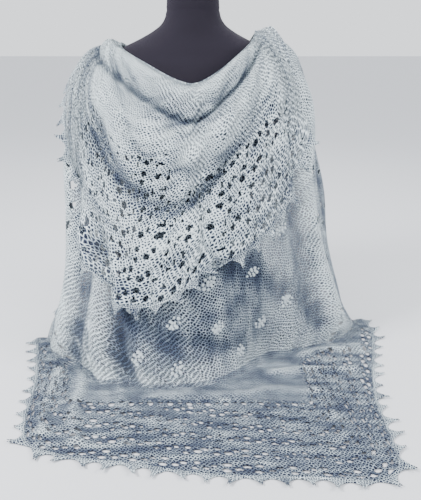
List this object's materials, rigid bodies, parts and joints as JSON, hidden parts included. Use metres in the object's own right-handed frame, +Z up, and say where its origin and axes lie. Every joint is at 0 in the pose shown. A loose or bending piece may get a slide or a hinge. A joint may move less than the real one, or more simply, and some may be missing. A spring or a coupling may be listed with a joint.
{
  "type": "lace shawl on a dress form",
  "caption": "Hand-knitted lace shawl with a pointed edging, turned down over a limbless dress form, its end spread in front.",
  "frame": {"origin": "centre of the dress form's flat base", "axes": "+Z up along the form, -Y out of its front towards the spread end of the shawl, +X to the viewer's right"},
  "size_m": [0.8162, 0.7339, 0.78],
  "materials": {
    "lace": "soft matt knitted lace with a slight halo",
    "edging": "soft matt knitted lace with a slight halo",
    "jersey": "matt black jersey"
  },
  "bodies": {
    "root": {"dress_form": "jersey", "front_drop": "lace", "left_side": "lace", "right_side": "lace", "flap": "lace", "table_middle": "lace", "table_border": "lace", "table_edging": "edging", "left_edging": "edging", "right_edging": "edging", "flap_edging": "edging"}
  },
  "joints": []
}
